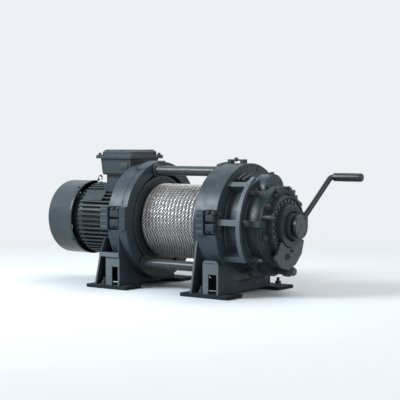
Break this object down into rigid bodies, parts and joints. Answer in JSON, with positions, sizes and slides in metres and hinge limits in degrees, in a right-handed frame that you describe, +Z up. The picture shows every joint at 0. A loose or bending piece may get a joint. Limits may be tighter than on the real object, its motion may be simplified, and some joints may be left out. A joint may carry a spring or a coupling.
{
  "type": "electric winch",
  "caption": "Electric drum winch with flanged motor, steel rope drum between two ring housings on legs, ribbed gear case and hand crank.",
  "frame": {"origin": "on the floor, at the centre of the four foot holes under the leg arches", "axes": "+X along the drum from the motor to the hand crank, +Y to the back, +Z up"},
  "size_m": [1.172, 0.426, 0.481],
  "materials": {
    "blue_grey_paint": "semi-gloss",
    "motor_paint": "semi-gloss",
    "frame_paint": "satin",
    "tie_rod_paint": "semi-gloss",
    "drum_paint": "satin",
    "crank_paint": "gloss",
    "steel_rope": "bright drawn wire",
    "machined_steel": "turned",
    "zinc_steel": "zinc plated",
    "black_grip": "satin"
  },
  "bodies": {
    "frame": {"back_tie_rod": "tie_rod_paint", "bearing_boss": "blue_grey_paint", "bearing_flange": "blue_grey_paint", "front_tie_rod": "tie_rod_paint", "gear_case": "blue_grey_paint", "gear_neck_case": "blue_grey_paint", "left_back_foot_plate": "frame_paint", "left_back_leg": "frame_paint", "left_floor_rail": "frame_paint", "left_front_foot_plate": "frame_paint", "left_front_leg": "frame_paint", "left_ring_lower": "blue_grey_paint", "left_ring_upper": "blue_grey_paint", "locking_knob": "blue_grey_paint", "lower_cover_plate": "blue_grey_paint", "motor_fan_cover": "motor_paint", "motor_flange": "motor_paint", "motor_frame": "motor_paint", "motor_lifting_eye": "zinc_steel", "motor_rear_shield": "motor_paint", "oil_plug": "blue_grey_paint", "right_back_foot_plate": "frame_paint", "right_back_leg": "frame_paint", "right_floor_rail": "frame_paint", "right_front_foot_plate": "frame_paint", "right_front_leg": "frame_paint", "right_ring_lower": "blue_grey_paint", "right_ring_upper": "blue_grey_paint", "ring_lifting_bar": "blue_grey_paint", "terminal_box_body": "motor_paint", "terminal_box_lid": "motor_paint", "terminal_box_neck": "motor_paint", "toothed_ring": "blue_grey_paint", "top_tie_rod": "tie_rod_paint"},
    "drum": {"rope_drum": "drum_paint", "drum_shaft": "machined_steel", "rope_winding": "steel_rope"},
    "crank": {"crank_arm": "crank_paint"},
    "grip": {"crank_grip": "black_grip"}
  },
  "joints": [
    {"name": "drum_spin", "type": "hinge", "parent": "frame", "child": "drum", "pos_m": [0.025, 0, 0.231], "axis": [1, 0, 0], "continuous": true},
    {"name": "crank_spin", "type": "hinge", "parent": "frame", "child": "crank", "pos_m": [0.44, 0, 0.231], "axis": [1, 0, 0], "continuous": true},
    {"name": "grip_spin", "type": "hinge", "parent": "crank", "child": "grip", "pos_m": [0.56, 0.11809, 0.39117], "axis": [1, 0, 0], "continuous": true}
  ]
}
